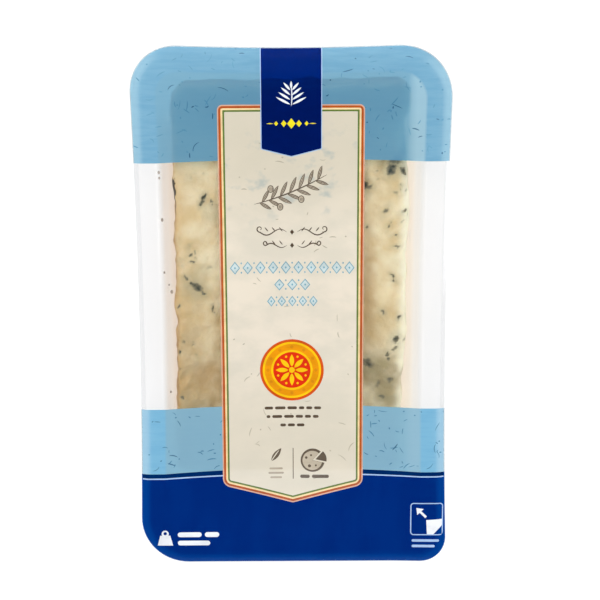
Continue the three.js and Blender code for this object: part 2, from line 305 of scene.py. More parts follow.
def hollow_shade_share(plan):
    """How far points lie inside the seal, where the film hangs slack and the ink is painted greyer, as shade
    over the tray's hollow.
    """
    return ramp(inset_of(draw_out(plan)), FLANGE_WIDTH - SEAL_BLUR, FLANGE_WIDTH + SEAL_BLUR)


OUTLINE = draw_in(pack_ring(0))
OUTLINE_MIDDLE = (OUTLINE.min(0) + OUTLINE.max(0)) / 2


# Meshes

def add_object(name, data):
    """A new object in the scene."""
    thing = bpy.data.objects.new(name, data)
    scene.collection.objects.link(thing)
    return thing


def mesh_piece(name, points, faces, look, slot):
    """A smooth mesh that rides on the pack, from points in the outline's frame."""
    placed = (points - (*OUTLINE_MIDDLE, 0)) * MM
    mesh = bpy.data.meshes.new(name)
    mesh.from_pydata(placed.tolist(), [], [list(map(int, face)) for face in faces])
    mesh.materials.append(look)
    mesh.shade_smooth()
    mesh.set_sharp_from_angle(angle=radians(50))
    piece = add_object(name, mesh)
    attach(piece, "root")
    return piece


def paint(mesh, name, values):
    """Keeps a number for each point of a mesh, for its material."""
    attribute = mesh.attributes.new(name, "FLOAT", "POINT")
    attribute.data.foreach_set("value", values.astype(np.float32))


def loft(rings):
    """Points and faces of a closed solid, from its lowest middle outwards, up and back in."""
    count = len(rings[0])
    points = np.vstack([*rings, rings[0].mean(0), rings[-1].mean(0)])
    first = len(points) - 2
    top = first - count
    faces = []
    for j in range(count):
        k = (j + 1) % count
        for low in range(0, top, count):
            faces.append((low + j, low + k, low + count + k, low + count + j))
        faces += [(first, k, j), (first + 1, top + j, top + k)]
    return points, faces


def flange_height(inset):
    """Height of the flange's upper face: a flat land, and a lip that curves down to the edge."""
    return FLANGE_TOP - LIP_DROP * max(1 - inset / LIP_WIDTH, 0) ** 2


def tray_profile(depth):
    """The tray's section as (inset, z), from floor to edge, sunk into the sheet by depth."""
    shoulder = (FLANGE_WIDTH - SHOULDER_RADIUS, FLANGE_TOP - SHOULDER_RADIUS)
    base_z = SHEET + BASE_RADIUS
    drop = shoulder[1] - base_z + (SHOULDER_RADIUS + BASE_RADIUS) * sin(DRAFT)
    reach = (SHOULDER_RADIUS + BASE_RADIUS) * cos(DRAFT)
    base_inset = shoulder[0] + reach + drop * tan(DRAFT)
    angles = np.linspace(DRAFT, pi / 2, FILLET_STEPS)
    base_r = BASE_RADIUS + depth
    shoulder_r = SHOULDER_RADIUS - depth
    section = [(base_inset - base_r * cos(a), base_z - base_r * sin(a)) for a in angles[::-1]]
    section += [
        (shoulder[0] + shoulder_r * cos(a), shoulder[1] + shoulder_r * sin(a)) for a in angles
    ]
    section += [(i, flange_height(i) - depth) for i in np.linspace(LIP_WIDTH, 0, FILLET_STEPS)]
    return section


def make_tray():
    """The clear tray: a drafted shell with a sealing flange round its mouth."""
    section = tray_profile(SHEET) + tray_profile(0)[::-1]
    rings = []
    for inset, z in section:
        plan = draw_in(pack_ring(inset))
        rings.append(np.c_[plan, np.full(len(plan), z)])
    tray = mesh_piece("clear_tray", *loft(rings), clear_plastic(), "clear_tray")
    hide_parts("tray")


# Shapes of the print

def box_shape(x0, y0, x1, y1):
    """A rectangle."""
    return np.array(((x0, y0), (x1, y0), (x1, y1), (x0, y1)), float)


def disc(x, y, radius, radius_y=None, count=40):
    """A circle or an upright ellipse."""
    angles = np.linspace(0, 2 * pi, count, endpoint=False)
    return np.c_[x + radius * np.cos(angles), y + (radius_y or radius) * np.sin(angles)]


def round_corners(points, radii, steps=6):
    """A polygon with an arc at each corner."""
    points = np.array(points, float)
    rounded = []
    for k, (corner, radius) in enumerate(zip(points, radii)):
        to_last = points[k - 1] - corner
        to_next = points[(k + 1) % len(points)] - corner
        to_last /= np.linalg.norm(to_last)
        to_next /= np.linalg.norm(to_next)
        half = acos(np.clip(to_last @ to_next, -1, 1)) / 2
        back = radius / tan(half)
        start, end = corner + to_last * back, corner + to_next * back
        middle = corner + (to_last + to_next) / np.linalg.norm(to_last + to_next) * radius / sin(half)
        for share in np.linspace(0, 1, steps):
            arm = (start - middle) * (1 - share) + (end - middle) * share
            rounded.append(middle + arm / np.linalg.norm(arm) * radius)
    return np.array(rounded)


def round_box(x0, y0, x1, y1, radius):
    """A rectangle with round corners."""
    return round_corners(box_shape(x0, y0, x1, y1), [radius] * 4)


def bar(x0, x1, y, height):
    """A thin bar with round ends."""
    return round_box(x0, y - height / 2, x1, y + height / 2, height * 0.49)


def stroke(line, width, taper=True):
    """A pen stroke along a line of points, thickest in its middle if it tapers."""
    line = np.array(line, float)
    along = np.gradient(line, axis=0)
    along /= np.linalg.norm(along, axis=1)[:, None]
    share = np.linspace(0, 1, len(line))
    half = width / 2 * (0.15 + 0.85 * np.sin(pi * share) ** 0.6 if taper else np.ones(len(line)))
    side = np.c_[-along[:, 1], along[:, 0]] * half[:, None]
    return np.vstack([line + side, (line - side)[::-1]])


def bend(start, control, end, count=12):
    """Points along a curve that leaves start and reaches end, drawn towards control."""
    share = np.linspace(0, 1, count)[:, None]
    start, control, end = map(np.array, (start, control, end))
    return start * (1 - share) ** 2 + 2 * control * share * (1 - share) + end * share**2


def leaf_shape(base, tip, width):
    """A pointed leaf between two points."""
    base, tip = np.array(base, float), np.array(tip, float)
    side = np.array((base[1] - tip[1], tip[0] - base[0]))
    side *= width / np.linalg.norm(side)
    middle = base * 0.55 + tip * 0.45
    return np.vstack([bend(base, middle + side, tip), bend(tip, middle - side, base)[1:-1]])


def pointed_panel(half, top, tip, slope, inset, corners):
    """A hanging panel with a pointed foot, drawn in by inset; corners are its five radii."""
    half -= inset
    tip += inset * hypot(1, slope)
    foot = tip + slope * half
    points = ((half, top - inset), (-half, top - inset), (-half, foot), (0, tip), (half, foot))
    return round_corners(points, [max(r - inset, 0.3) for r in corners])


def cross_edge(height, tilt, bow):
    """An edge of the print across the pack, which bows where the film is slack."""
    x = np.arange(-BEYOND, BEYOND + 1, 2.0)
    return np.c_[x, height + tilt * x + bow * np.maximum(1 - (x / SLACK_HALF) ** 2, 0)]


def cross_band(upper, lower):
    """The strip between two such edges."""
    return np.vstack([cross_edge(*lower), cross_edge(*upper)[::-1]])


def label_shapes():
    """The long cream label with its striped border."""
    corners = (LABEL_CORNER, LABEL_CORNER, LABEL_FOOT_CORNER, LABEL_CORNER, LABEL_FOOT_CORNER)
    for ink, inset in LABEL_BORDERS:
        panel = pointed_panel(LABEL_HALF, LABEL_TOP, LABEL_TIP, LABEL_SLOPE, inset, corners)
        yield ink, panel + (LABEL_MIDDLE, 0)


def ribbon_shapes():
    """The navy ribbon over the label, with a leaf spray and a rule of lozenges."""
    x = RIBBON_MIDDLE
    corners = (0.3, 0.3, 0.5, 0.8, 0.5)
    for ink, rim in (("pale", RIBBON_EDGE), ("ribbon", 0)):
        panel = pointed_panel(RIBBON_HALF + rim, BEYOND, RIBBON_TIP - rim, RIBBON_SLOPE, 0, corners)
        yield ink, panel + (x, 0)
    foot, height = 75.2, 9.0
    yield "white", stroke(bend((x, foot), (x + 0.5, foot + 4), (x, foot + height - 2)), 0.42)
    for k in range(4):
        low = foot + 0.6 + 1.7 * k
        reach = 5.4 - 0.9 * k
        for sign in (-1, 1):
            yield "white", leaf_shape((x + sign * 0.3, low), (x + sign * reach, low + 2.7), 0.85)
    yield "white", leaf_shape((x, foot + 6.2), (x, foot + height), 0.8)
    rule_y = 69.0
    for k, size in zip(range(-2, 3), (0.7, 1.0, 1.5, 1.0, 0.7)):
        yield "yellow", lozenge(x + k * 2.7, rule_y, size, size * 1.25)
    for sign in (-1, 1):
        tail = [(x + sign * reach, rule_y) for reach in (6.4, 7.6, 8.8)]
        yield "yellow", stroke(tail, 0.4)


def lozenge(x, y, half_x, half_y):
    """A diamond."""
    return np.array(((x + half_x, y), (x, y + half_y), (x - half_x, y), (x, y - half_y)), float)


def sprig_shapes():
    """A pen drawing of an olive sprig: a stem, paired leaves with ribs and hatching, and fruit."""
    stem = bend((-13.6, 39.6), (-1.0, 42.6), (12.6, 50.4), 40)
    yield "brown", stroke(stem, 0.5)
    for k in range(7):
        share = 0.1 + 0.125 * k
        base = stem[int(share * 39)]
        ahead = stem[min(int(share * 39) + 3, 39)] - base
        ahead /= np.linalg.norm(ahead)
        for sign in (-1, 1):
            away = np.array((-ahead[1], ahead[0])) * sign
            length = 6.0 - 0.35 * abs(k - 3) + (0.5 if sign > 0 else 0)
            start = base + ahead * (0.9 if sign > 0 else 0)
            tip = start + (ahead * 0.72 + away * 0.69) * length
            yield "wash", leaf_shape(start, tip, 1.45)
            bow = away * 0.9
            middle = (start + tip) / 2
            for push, width in ((1.55, 0.3), (-1.55, 0.36), (0, 0.24)):
                yield "brown", stroke(bend(start, middle + bow * push, tip), width)
            for step in (0.4, 0.62):
                rib = start + (tip - start) * step
                yield "brown", stroke(bend(rib, rib + bow * 0.3, rib + bow * 0.55 + ahead * 0.7, 6), 0.2)
    for x, y in ((-4.2, 38.6), (3.4, 41.4), (-7.6, 45.2)):
        yield "brown", disc(x, y, 1.15, 1.4, 28)
        yield "wash", disc(x, y, 0.85, 1.1, 28)
        for step in (-0.45, 0.0, 0.45):
            hatch = bend((x + step, y - 0.8), (x + step + 0.35, y), (x + step, y + 0.7), 6)
            yield "brown", stroke(hatch, 0.2)


def scroll(x, y, reach, rise, curl):
    """A flourish that runs out from x, waves once and ends in a curl."""
    share = np.linspace(0, 1, 30)
    run = np.c_[x + (reach - x) * share, y + rise * np.sin(2 * pi * share)]
    turn = np.linspace(0, 1, 22)[1:]
    sign = copysign(1, reach - x)
    angles = -pi / 2 + 2 * pi * 0.95 * turn
    radius = curl * (1 - 0.75 * turn)
    spiral = np.c_[reach + sign * radius * np.cos(angles), y + curl + radius * np.sin(angles)]
    return np.vstack([run, spiral])


def flourish_shapes():
    """Two rows of pen flourishes under the drawing."""
    for y, reach, rise, curl in ((29.2, 11.6, 1.1, 1.25), (24.2, 9.6, -0.8, 0.95)):
        for sign in (-1, 1):
            yield "umber", stroke(scroll(sign * 1.9, y, sign * reach, rise, curl), 0.46)
            for k in range(3):
                x = sign * (3.4 + 2.6 * k)
                yield "umber", leaf_shape((x, y + 0.2), (x + sign * 1.3, y + 1.9), 0.42)
        yield "umber", lozenge(0, y, 0.75, 1.0)


def title_shapes():
    """Three rows of outlined lozenges with small ones between them."""
    for count, pitch, y, height in ((10, 4.62, 15.9, 4.9), (3, 4.7, 9.4, 4.5), (5, 3.85, 3.1, 4.1)):
        half_x = pitch * 0.4
        for k in range(count):
            x = (k - (count - 1) / 2) * pitch
            yield "teal", lozenge(x, y, half_x, height / 2)
            yield "sky", lozenge(x, y, half_x - 0.42, height / 2 - 0.52)
            yield "teal", lozenge(x, y, 0.38, 0.5)
        for k in range(count - 1):
            x = (k + 1 - count / 2) * pitch
            for sign in (-1, 1):
                yield "teal", lozenge(x, y + sign * height * 0.36, 0.34, 0.45)


def seal_shapes():
    """A round ochre seal with a red rim and a petal rosette."""
    x, y = -0.3, -23.3
    for ink, radius in (("rust", 11.8), ("gold", 10.8), ("ochre", 10.0), ("gold", 7.7), ("scarlet", 6.9)):
        yield ink, disc(x, y, radius, count=72)
    for k in range(8):
        angle = 2 * pi * k / 8
        out = np.array((cos(angle), sin(angle)))
        yield "gold", leaf_shape((x, y) + out * 1.3, (x, y) + out * 6.0, 1.7)
        half = angle + pi / 8
        yield "gold", disc(x + 5.5 * cos(half), y + 5.5 * sin(half), 0.42, count=14)
    yield "gold", disc(x, y, 1.1, count=20)
    for k in range(12):
        angle = 2 * pi * k / 12
        middle = np.array((x, y)) + 8.85 * np.array((cos(angle), sin(angle)))
        yield "amber", disc(*middle, 0.6, count=16)


def rule_shapes():
    """Rows of short bars under the seal and at the label's foot, and a rule between the pictures."""
    rng = np.random.default_rng(SEED)
    for y, half in ((-37.9, 10.5), (-41.2, 9.8), (-44.5, 4.7)):
        x = -half
        while x < half - 0.8:
            length = min(rng.uniform(1.4, 4.2), half - x)
            yield "umber", bar(x, x + length, y, 1.1)
            x += length + 0.7
    yield "brown", box_shape(-0.15, -65.2, 0.15, -53.4)
    for y, half in ((-61.2, 2.5), (-62.9, 2.9), (-64.6, 2.2)):
        yield "dim", bar(-6.4 - half, -6.4 + half, y, 0.75)
    for x0, x1 in ((2.6, 6.2), (7.0, 13.4)):
        yield "brown", bar(x0, x1, -64.3, 1.3)


def icon_shapes():
    """Small pictures at the label's foot: a leaf, and a cheese wheel with a slice drawn out."""
    yield "brown", leaf_shape((-8.2, -58.4), (-4.4, -53.4), 2.1)
    yield "cream", stroke(bend((-8.3, -58.6), (-6.6, -55.8), (-5.2, -54.2)), 0.4)
    x, y = 7.3, -58.1
    slice_angles = (radians(-12), radians(48))
    angles = np.linspace(slice_angles[1], slice_angles[0] + 2 * pi, 40)
    wheel = np.vstack([(x, y), np.c_[x + 4.5 * np.cos(angles), y + 4.5 * np.sin(angles)]])
    yield "brown", wheel
    yield "wash", (wheel - (x, y)) * 0.82 + (x - 0.12, y - 0.08)
    middle = sum(slice_angles) / 2
    shift = np.array((cos(middle), sin(middle))) * 1.1
    angles = np.linspace(*slice_angles, 10)
    wedge = np.vstack([(x, y), np.c_[x + 4.2 * np.cos(angles), y + 4.2 * np.sin(angles)]]) + shift
    yield "brown", wedge
    for dx, dy, radius in ((-2.4, 1.0, 0.5), (-1.2, -2.2, 0.6), (-0.6, 1.9, 0.4), (1.2, -2.0, 0.4)):
        yield "brown", disc(x + dx, y + dy, radius, count=14)


def foot_shapes():
    """Marks on the navy field: a weight with bars, and how to peel the corner."""
    yield "white", np.array(((-51.2, -90.6), (-45.4, -90.6), (-46.4, -86.6), (-50.2, -86.6)))
    yield "white", disc(-48.3, -85.9, 1.35, count=24)
    yield "navy", disc(-48.3, -85.8, 0.65, count=20)
    for x0, x1, y in ((-43.6, -34.6, -86.3), (-33.4, -28.0, -86.3), (-43.6, -31.4, -89.6)):
        yield "white", bar(x0, x1, y, 1.9)
    x0, y0, x1, y1 = 43.9, -86.8, 56.2, -74.0
    yield "pale", round_box(x0, y0, x1, y1, 1.3)
    yield "navy", round_box(x0 + 0.4, y0 + 0.4, x1 - 0.4, y1 - 0.4, 0.9)
    fold = ((x1 - 0.4, y0 + 0.4), (x1 - 0.4, y0 + 6.4), (x0 + 6.0, y0 + 6.0), (x1 - 6.0, y0 + 0.4))
    yield "white", np.array(fold)
    yield "navy", np.array(((x1 - 0.4, y0 + 0.4), (x1 - 0.4, y0 + 3.9), (x1 - 3.6, y0 + 0.4)))
    yield "white", stroke(((x0 + 5.9, y1 - 5.7), (x0 + 4.6, y1 - 4.4), (x0 + 3.2, y1 - 3.0)), 0.9, False)
    yield "white", np.array(((x0 + 2.2, y1 - 2.0), (x0 + 5.0, y1 - 2.4), (x0 + 2.6, y1 - 4.8)))
    for x_end, y in ((54.8, -88.9), (53.2, -91.1)):
        yield "pale", bar(x0 + 0.6, x_end, y, 1.0)


def fleck_shapes():
    """Seeded fibre flecks: many on the blue bands, few and faint on the label."""
    rng = np.random.default_rng(SEED + 1)
    top = (-56, TOP_BAND[0] + 1.5, 56, 96)
    low = (-56, STRIPE[0] + 1.5, 56, LOW_BAND[0] - 1)
    label = (-22.5, -66, 22.5, 72)
    fields = (
        ("fibre", 150, top), ("fleck", 34, top), ("fibre", 110, low), ("fleck", 15, low), ("mote", 60, label),
    )
    for ink, count, (x0, y0, x1, y1) in fields:
        for _ in range(count):
            middle = rng.uniform((x0, y0), (x1, y1))
            length = 0.6 + 3.6 * rng.random() ** 2.2
            angle = rng.normal(0, 0.6) + (pi / 2 if rng.random() < 0.25 else 0)
            out = np.array((cos(angle), sin(angle))) * length / 2
            bow = np.array((-out[1], out[0])) * rng.uniform(-0.7, 0.7)
            width = 0.26 + 0.22 * rng.random() + (0.14 if length < 1 else 0)
            yield ink, stroke(bend(middle - out, middle + bow, middle + out, 6), width)


def crumb_shapes():
    """Specks of cheese caught under the film beside the left wall."""
    for x, y, radius in CRUMBS:
        yield "crumb", disc(x, y, radius * 0.7, radius, 12)


def print_shapes():
    """Every shape of the print as (ink, polygon), in the order of laying down."""
    foot, *curve = PALE_LINE
    shapes = [
        ("blue", cross_band((BEYOND, 0, 0), TOP_BAND)),
        ("azure", cross_band(LOW_BAND, STRIPE)),
        ("deep", cross_band(STRIPE, PALE_LINE)),
        ("navy", cross_band(PALE_LINE, (-BEYOND, 0, 0))),
        ("pale", cross_band(PALE_LINE, (foot - PALE_LINE_WIDTH, *curve))),
    ]
    flecks = list(fleck_shapes())
    shapes += [s for s in flecks if s[0] != "mote"]
    shapes += label_shapes()
    shapes += [s for s in flecks if s[0] == "mote"]
    for group in (
        ribbon_shapes, sprig_shapes, flourish_shapes, title_shapes,
        seal_shapes, rule_shapes, icon_shapes, foot_shapes, crumb_shapes,
    ):
        shapes += group()
    return shapes


# The film and its print, cut from one triangulation

def densify(polygon):
    """The polygon with points added so that it can follow the curved film."""
    fine = []
    for a, b in zip(polygon, np.roll(polygon, -1, axis=0)):
        count = max(int(np.linalg.norm(b - a) / EDGE_STEP), 1)
        fine.append(a + (b - a) * np.arange(count)[:, None] / count)
    return np.vstack(fine)


def inside(points, polygon):
    """Which points lie inside a polygon, which may cross itself."""
    winding = np.zeros(len(points), int)
    x, y = points.T
    for (x0, y0), (x1, y1) in zip(polygon, np.roll(polygon, -1, axis=0)):
        side = (x1 - x0) * (y - y0) - (x - x0) * (y1 - y0)
        winding += (y0 <= y) & (y1 > y) & (side > 0)
        winding -= (y0 > y) & (y1 <= y) & (side < 0)
    return winding != 0


def triangulate(polygons):
    """Triangles over the pack's outline that keep every polygon's edges."""
    steps = [np.arange(-half, half, FILM_GRID) for half in PACK_HALF]
    grid = np.array(np.meshgrid(*steps)).reshape(2, -1).T
    grid = grid[inset_of(draw_out(grid)) > LIP_WIDTH]
    seal = (FLANGE_WIDTH - SEAL_BLUR, FLANGE_WIDTH + SEAL_BLUR)
    insets = (0, PAINTED_EDGE_LINE, *np.linspace(0, LIP_WIDTH, 5)[1:], *seal)
    lip_rings = [draw_in(pack_ring(inset)) for inset in insets]
    reach = PACK_HALF + 1
    points, edges = [grid], []
    total = len(grid)
    for polygon in [*lip_rings, *(densify(np.clip(p, -reach, reach)) for p in polygons)]:
        points.append(polygon)
        span = np.arange(total, total + len(polygon))
        edges += np.c_[span, np.roll(span, -1)].tolist()
        total += len(polygon)
    flat = [Vector(p) for p in np.vstack(points)]
    plan, _, triangles, *_ = geometry.delaunay_2d_cdt(flat, edges, [], 0, 1e-4, False)
    plan, triangles = np.array([tuple(p) for p in plan]), np.array(triangles)
    middles = plan[triangles].mean(1)
    return plan, triangles[inside(middles, OUTLINE)]


def make_film():
    """The clear film, and on it one sheet for each ink."""
    shapes = print_shapes()
    plan, triangles = triangulate([polygon for _, polygon in shapes])
    middles = plan[triangles].mean(1)
    ink_of = np.full(len(triangles), "", dtype="U10")
    for ink, polygon in shapes:
        near = np.flatnonzero(((middles > polygon.min(0)) & (middles < polygon.max(0))).all(1))
        ink_of[near[inside(middles[near], polygon)]] = ink
    inset = inset_of(draw_out(middles))
    bare = ink_of == ""
    # painted shade: the bare film greyed on its lip, near the edge
    ink_of[bare & (inset < LIP_SHADE_LINE)] = "haze"
    # painted light at the cut edge: grey shade above the stripe, a lighter rim highlight on the navy
    at_edge = ~bare & (inset < PAINTED_EDGE_LINE)
    ink_of[at_edge] = np.where(middles[at_edge, 1] > STRIPE[0], "edge", "rim")
    height = film_height(plan)
    # masks for painted light on the print: a highlight on the lip, shade inside the seal, and glare beside
    # the cheese at +X
    shares = {"lip": lip_highlight_share(plan), "slack": hollow_shade_share(plan)}
    # painted glare on the film beside the cheese at +X
    shares["glare"] = shares["slack"] * ramp(plan[:, 0], *GLARE)
    for ink in sorted(set(ink_of) - {""}):
        used, faces = np.unique(triangles[ink_of == ink], return_inverse=True)
        points = np.c_[plan[used], height[used] + INK_RISE]
        look = INKS[ink](f"ink_{ink}")
        sheet = mesh_piece(f"print_{ink}", points, faces.reshape(-1, 3), look, "film_print")
        for name, share in shares.items():
            paint(sheet.data, name, share[used])
    used, faces = np.unique(triangles, return_inverse=True)
    faces = faces.reshape(-1, 3)
    plan, height, count = plan[used], height[used], len(used)
    solid = np.vstack([np.c_[plan, height], np.c_[plan, height - FILM_THICKNESS]])
    sides = np.vstack([faces[:, [0, 1]], faces[:, [1, 2]], faces[:, [2, 0]]])
    known = {tuple(s) for s in sides.tolist()}
    rim = np.array([s for s in known if s[::-1] not in known])
    walls = np.c_[rim[:, ::-1], rim + count]
    every = [*faces.tolist(), *(faces[:, ::-1] + count).tolist(), *walls.tolist()]
    film = mesh_piece("film", solid, every, clear_film(), "lid_film")
    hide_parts("lid_film")


# Materials

def linear(*levels):
    """A colour from its 0 to 255 screen levels."""
    shares = [level / 255 for level in levels]
    return tuple(s / 12.92 if s <= 0.04045 else ((s + 0.055) / 1.055) ** 2.4 for s in shares) + (1.0,)


class Graph:
    """The shader nodes of one material or sky."""

    def __init__(self, owner):
        self.owner = owner
        owner.use_nodes = True
        self.tree = owner.node_tree
        self.tree.nodes.clear()

    def add(self, kind, inputs=None, output=0, **settings):
        """One output of a new node; an input is a value or another output."""
        node = self.tree.nodes.new(f"ShaderNode{kind}")
        for key, value in settings.items():
            setattr(node, key, value)
        for key, value in (inputs or {}).items():
            if isinstance(value, bpy.types.NodeSocket):
                self.tree.links.new(value, node.inputs[key])
            else:
                node.inputs[key].default_value = value
        return node.outputs[output]

    def place(self, stretch=(1, 1, 1)):
        """Object coordinates, stretched along each axis."""
        coords = self.add("TexCoord", output="Object")
        return self.add("Mapping", {"Vector": coords, "Scale": stretch})

    def axis(self, letter):
        """One object coordinate, X, Y or Z."""
        return self.add("SeparateXYZ", {0: self.place()}, output=letter)

    def attribute(self, name):
        """A number painted on the mesh."""
        return self.add("Attribute", output="Fac", attribute_name=name)

    def noise(self, vector, scale, detail=2.0, roughness=0.5):
        """Noise from 0 to 1, with scale in lumps a metre."""
        inputs = {"Vector": vector, "Scale": scale, "Detail": detail, "Roughness": roughness}
        return self.add("TexNoise", inputs)

    def span(self, value, low, high, to_low=0.0, to_high=1.0):
        """Value from low to high, spread smoothly over another range."""
        inputs = {"Value": value, "From Min": low, "From Max": high, "To Min": to_low, "To Max": to_high}
        return self.add("MapRange", inputs, interpolation_type="SMOOTHSTEP")

    def math(self, operation, a, b):
        """A sum or the like of two numbers."""
        return self.add("Math", {0: a, 1: b}, operation=operation)

    def blend(self, share, a, b, part=1.0):
        """Colour a going over to colour b, or part of the way to it."""
        if part < 1:
            share = self.math("MULTIPLY", share, part)
        return self.add("Mix", {0: share, 6: a, 7: b}, output=2, data_type="RGBA")

    def bump(self, height, distance, strength=1.0):
        """Normals of a surface raised by height times distance."""
        return self.add("Bump", {"Height": height, "Distance": distance, "Strength": strength})

    def finish(self, shader, output="OutputMaterial"):
        """Shows the shader and returns what it belongs to."""
        node = self.tree.nodes.new(f"ShaderNode{output}")
        self.tree.links.new(shader, node.inputs["Surface"])
        return self.owner


def new_look(name):
    """The empty nodes of a new material."""
    return Graph(bpy.data.materials.new(name))


def film_bump(g):
    """Faint slack in the film: long soft waves."""
    waves = g.noise(g.place((1, 0.35, 1)), 60.0, 2.0)
    return g.bump(waves, 0.0006, 0.35)


def clear_film():
    """Clear lidding film: see-through, with a soft gloss."""
    g = new_look("clear_film")
    normal = film_bump(g)
    gloss = g.add("BsdfGlossy", {"Roughness": 0.14, "Normal": normal})
    through = g.add("BsdfTransparent", {"Color": (0.999, 0.999, 0.999, 1)})
    share = g.math("MINIMUM", g.add("Fresnel", {"IOR": 1.42, "Normal": normal}), MOST_GLOSS)
    return g.finish(g.add("MixShader", {0: share, 1: through, 2: gloss}))


def clear_plastic():
    """Clear thermoformed sheet: glossy, a little hazy, and tinted low down beside the cheese by its smearing,
    with painted shade at -X and painted bounce light from the cheese at +X.
    """
    g = new_look("clear_plastic")
    ripple = g.noise(g.place((1, 1, 0.25)), 90.0, 3.0)
    normal = g.bump(ripple, 0.0004, 0.25)
    across, height = g.axis("X"), g.axis("Z")
    along = g.math("ABSOLUTE", g.axis("Y"), 0.0)
    # smearing with painted shade at -X and painted bounce light at +X, low down beside the cheese
    beside = g.math("MULTIPLY", g.span(across, *SMEAR_AND_SHADING_ACROSS), g.span(along, *SMEAR_AND_SHADING_ALONG))
    smear_and_shading = g.math("MULTIPLY", g.span(height, *SMEAR_AND_SHADING_HEIGHT), beside)
    smeared_and_shaded = g.blend(g.span(across, -0.02, 0.02), SMEAR_AND_SHADE_LEFT, SMEAR_AND_BOUNCE_LIGHT_RIGHT)
    tint = g.blend(g.span(height, *FORMED_HEIGHT), CLEAR, FORMED)
    tint = g.blend(smear_and_shading, tint, smeared_and_shaded)
    turned = g.span(g.add("LayerWeight", {"Blend": 0.5}, output="Facing"), 0.55, 1.0, 0.0, 0.5)
    tint = g.blend(turned, tint, EDGE_ON)
    through = g.add("BsdfTransparent", {"Color": tint})
    haze = g.add("BsdfDiffuse", {"Color": (0.95, 0.95, 0.95, 1)})
    milky = g.add("MixShader", {0: 0.012, 1: through, 2: haze})
    gloss = g.add("BsdfGlossy", {"Roughness": 0.09, "Normal": normal})
    share = g.math("MINIMUM", g.add("Fresnel", {"IOR": 1.5, "Normal": normal}), MOST_GLOSS)
    return g.finish(g.add("MixShader", {0: share, 1: milky, 2: gloss}))


def lay_down(g, tone, through, cover, shine, rough):
    """The look of a printed tone that covers the clear film in part."""
    normal = film_bump(g)
    inputs = {"Base Color": tone, "Roughness": rough, "Specular IOR Level": shine, "Normal": normal}
    pigment = g.add("BsdfPrincipled", inputs)
    clear = g.add("BsdfTransparent", {"Color": (*through, 1)})
    return g.finish(g.add("MixShader", {0: cover, 1: clear, 2: pigment}))


def ink(
    colour, through=(1, 1, 1), cover=0.95, second=None, drift=0.5, lump=8.0, stretch=(1, 2), shine=0.3,
    rough=0.15, lip_highlight_colour=None, hollow_shade_colour=None, haze=0.5,
):
    """A maker of one ink: its colour, drifting to a second in lumps, and what shows through.

    It can be painted lighter on the lip as a highlight, greyer inside the seal as painted shade over the
    tray's hollow, and milky beside the cheese at +X as a painted glare.
    """

    def make(name):
        g = new_look(name)
        cloud = g.noise(g.place((*stretch, 1)), 1 / (lump * MM), 4.0, 0.6)
        shade = second or tuple(level * 0.86 for level in colour)
        tone = g.blend(g.span(cloud, 0.36, 0.66), linear(*colour), linear(*shade), drift)
        if hollow_shade_colour:
            # painted shade: the ink greyer inside the seal, over the tray's hollow
            tone = g.blend(g.attribute("slack"), tone, linear(*hollow_shade_colour), HOLLOW_SHADE_PART)
            # painted glare: the ink milky beside the cheese at +X
            tone = g.blend(g.attribute("glare"), tone, linear(*GLARE_COLOUR), haze)
        if lip_highlight_colour:
            # painted highlight: the ink lighter along the lip
            tone = g.blend(g.attribute("lip"), tone, linear(*lip_highlight_colour), LIP_HIGHLIGHT_PART)
        return lay_down(g, tone, through, cover, shine, rough)

    return make


def label_paper(name):
    """The label's cream: clouded, duller towards the ribbon, with grey-blue smudges there."""
    g = new_look(name)
    high = g.axis("Y")
    cloud = g.noise(g.place((1, 1.6, 1)), 45.0, 4.0, 0.6)
    smudge = g.noise(g.place((1, 1.3, 1)), 120.0, 3.0, 0.55)
    tone = g.blend(g.span(cloud, 0.36, 0.66), linear(235, 225, 208), linear(222, 215, 199))
    tone = g.blend(g.span(high, 0.02, 0.06, 0.0, 0.8), tone, linear(212, 204, 184))
    tone = g.blend(g.span(high, -0.015, -0.05, 0.0, 0.6), tone, linear(214, 207, 189))
    near_ribbon = g.math("MULTIPLY", g.span(high, 0.028, 0.045), g.span(high, 0.075, 0.06))
    smudged = g.math("MULTIPLY", g.span(smudge, 0.54, 0.72, 0.0, 0.6), near_ribbon)
    tone = g.blend(smudged, tone, linear(160, 176, 176))
    return lay_down(g, tone, (1, 1, 1), cover=0.9, shine=0.3, rough=0.15)


FIBRES = {"lump": 3.5, "stretch": (0.3, 2.4), "drift": 0.8, "shine": 0.2, "rough": 0.3}
